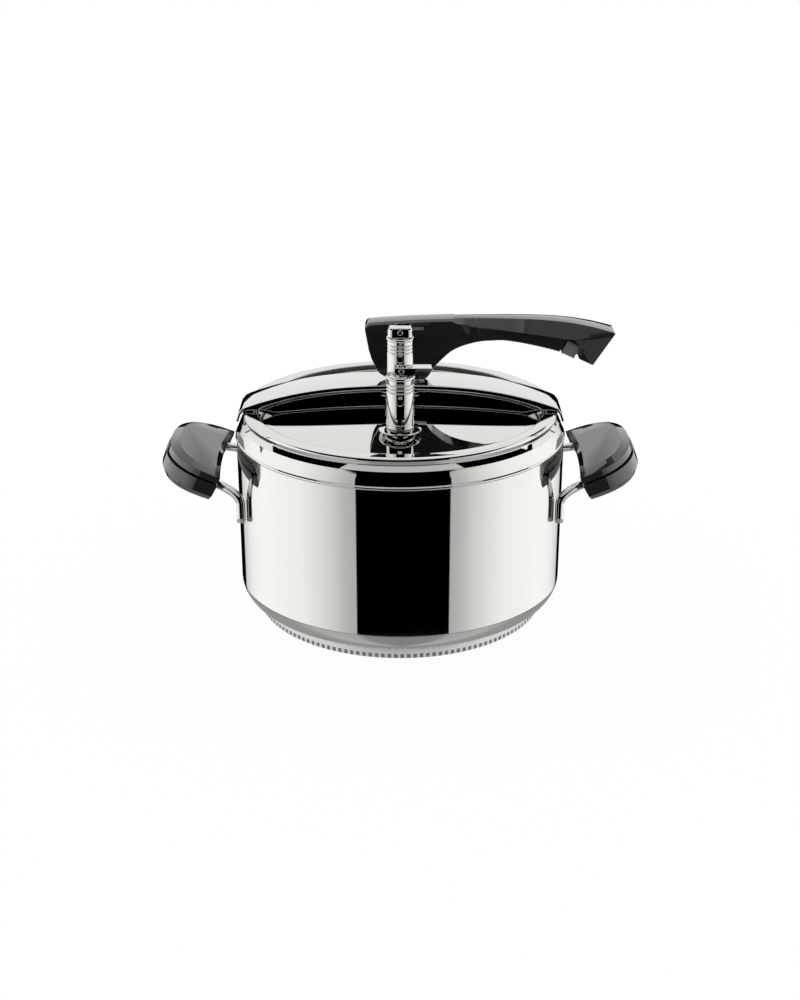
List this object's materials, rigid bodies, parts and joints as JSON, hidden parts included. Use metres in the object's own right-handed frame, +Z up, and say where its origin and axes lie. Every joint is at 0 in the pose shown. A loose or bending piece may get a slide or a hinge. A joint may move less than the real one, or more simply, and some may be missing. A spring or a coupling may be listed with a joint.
{
  "type": "stovetop pressure cooker",
  "caption": "Polished steel pot with an inner-fit lid, spring crossbar, clamping lever, pressure valves and side grips.",
  "frame": {"origin": "centre of the base's underside, on the surface the cooker stands on", "axes": "+Z up, +X along the lever's grip and through both side grips, -Y towards the operating valve"},
  "size_m": [0.323, 0.2232, 0.203],
  "materials": {
    "polished_steel": "mirror polished stainless steel",
    "satin_steel": "satin stainless steel",
    "aluminium_core": "plain",
    "bakelite": "satin-gloss moulded phenolic",
    "black_plastic": "satin moulded plastic",
    "silicone": "matt silicone"
  },
  "bodies": {
    "cooker": {"pot_body": "polished_steel", "base_cap": "satin_steel", "base_core": "aluminium_core", "bail_left": "polished_steel", "bail_right": "polished_steel", "grip_upper_left": "bakelite", "grip_upper_right": "bakelite", "grip_lower_left": "bakelite", "grip_lower_right": "bakelite", "grip_screw_left_front": "satin_steel", "grip_screw_left_rear": "satin_steel", "grip_screw_right_front": "satin_steel", "grip_screw_right_rear": "satin_steel", "crossbar": "polished_steel"},
    "lid": {"lid_plate": "polished_steel", "lid_gasket": "silicone", "centre_post": "polished_steel", "post_collar": "polished_steel", "post_washer": "satin_steel", "post_nut": "satin_steel", "valve_base": "polished_steel", "valve_tube": "polished_steel", "valve_nut": "satin_steel", "valve_head": "polished_steel", "valve_spring": "satin_steel", "safety_base": "polished_steel", "safety_tube": "polished_steel", "safety_nut": "satin_steel", "safety_guide": "satin_steel", "safety_spring": "satin_steel"},
    "lever": {"lever_body": "bakelite", "lever_fork": "satin_steel", "lever_pin": "satin_steel", "latch_spring": "satin_steel"},
    "latch": {"latch_slider": "black_plastic"},
    "stem": {"valve_stem": "satin_steel", "valve_seal": "silicone"},
    "tab": {"release_tab": "polished_steel", "tab_pin": "satin_steel"},
    "popper": {"safety_cap": "polished_steel", "safety_pin": "satin_steel", "safety_plunger": "satin_steel", "safety_seal": "silicone"}
  },
  "joints": [
    {"name": "lid_drop", "type": "slide", "parent": "cooker", "child": "lid", "axis": [0, 0, -1], "range_m": [0, 0.0026]},
    {"name": "lever_swing", "type": "hinge", "parent": "lid", "child": "lever", "pos_m": [0, 0, 0.186], "axis": [0, -1, 0], "range_deg": [0, 90]},
    {"name": "latch_slide", "type": "slide", "parent": "lever", "child": "latch", "axis": [0.9004, 0, -0.435], "range_m": [0, 0.003], "stiffness_N_per_m": 300, "springref_m": -0.004, "deforming": ["latch_spring"]},
    {"name": "stem_lift", "type": "slide", "parent": "lid", "child": "stem", "axis": [0, 0, 1], "range_m": [0, 0.0016], "deforming": ["valve_spring"]},
    {"name": "tab_swing", "type": "hinge", "parent": "stem", "child": "tab", "pos_m": [0.0008, -0.062, 0.1844], "axis": [0, -1, 0], "range_deg": [0, 90]},
    {"name": "safety_lift", "type": "slide", "parent": "lid", "child": "popper", "axis": [0, 0, 1], "range_m": [0, 0.003], "stiffness_N_per_m": 600, "springref_m": -0.008, "deforming": ["safety_spring"]}
  ],
  "couplings": [
    {"joint": "lever_swing", "follows": "lid_drop", "rad_per_m": 604.15},
    {"joint": "tab_swing", "follows": "stem_lift", "rad_per_m": 981.75}
  ]
}
